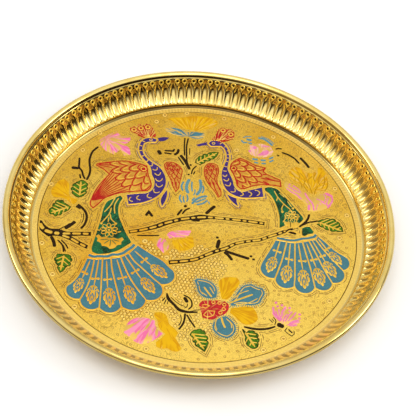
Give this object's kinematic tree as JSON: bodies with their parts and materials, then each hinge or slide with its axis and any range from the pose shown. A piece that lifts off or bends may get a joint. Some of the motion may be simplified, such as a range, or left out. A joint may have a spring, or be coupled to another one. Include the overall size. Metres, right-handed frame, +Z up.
{
  "type": "puja thali",
  "caption": "Shallow round brass plate with a fluted, flaring wall, a rim rolled over a wire, and a flat floor inlaid with enamelled peacocks, flowers and branches.",
  "frame": {"origin": "middle of the flat underside", "axes": "+Z up, along the plate's axis, out of its open side; +Y from the picture's lower edge to its upper edge; +X to the picture's right"},
  "size_m": [0.28, 0.2796, 0.0223],
  "materials": {
    "brass": "polished wall and rim, satin engraved floor",
    "steel": "plain drawn wire",
    "indigo": "glossy enamel lacquer",
    "red": "glossy enamel lacquer",
    "emerald": "glossy enamel lacquer",
    "light_blue": "glossy enamel lacquer",
    "leaf_green": "glossy enamel lacquer",
    "yellow": "glossy enamel lacquer",
    "pink": "glossy enamel lacquer",
    "dark": "dark enamel lacquer"
  },
  "bodies": {
    "root": {"thali_pan": "brass", "rim_wire": "steel", "left_crest": "red", "left_body": "indigo", "left_wing": "red", "left_far_wing": "red", "left_leg": "indigo", "left_train": "emerald", "left_tail_band": "light_blue", "left_tail_feather_1": "light_blue", "left_tail_feather_2": "light_blue", "left_tail_feather_3": "light_blue", "left_tail_feather_4": "light_blue", "left_tail_feather_5": "light_blue", "left_tail_feather_6": "light_blue", "right_crest": "red", "right_body": "indigo", "right_wing": "red", "right_far_wing": "red", "right_leg": "indigo", "right_train": "emerald", "right_train_tip": "emerald", "right_tail_band": "light_blue", "right_tail_feather_1": "light_blue", "right_tail_feather_2": "light_blue", "right_tail_feather_3": "light_blue", "right_tail_feather_4": "light_blue", "right_tail_feather_5": "light_blue", "right_tail_feather_6": "light_blue", "top_leaf": "leaf_green", "left_upper_leaf": "leaf_green", "left_middle_leaf": "leaf_green", "left_lower_leaf": "leaf_green", "right_leaf": "leaf_green", "bottom_left_leaf": "leaf_green", "bottom_right_leaf": "leaf_green", "top_yellow_flower": "yellow", "top_flower_cup": "light_blue", "left_pink_flower": "pink", "left_yellow_flower": "yellow", "centre_pink_upper": "pink", "centre_pink_lower": "pink", "centre_yellow_petal": "yellow", "right_yellow_flower": "yellow", "right_pink_flower": "pink", "red_flower_centre": "red", "blue_petal_left": "light_blue", "blue_petal_right": "light_blue", "blue_petal_bottom": "light_blue", "yellow_petal_top": "yellow", "yellow_petal_right": "yellow", "bottom_pink_flower": "pink", "bottom_yellow_flower": "yellow", "bottom_right_pink_flower": "pink", "left_branch": "dark", "upper_branch": "dark", "lower_branch": "dark", "hook_stem": "dark", "bottom_branch": "dark", "bottom_stem": "dark"}
  },
  "joints": []
}
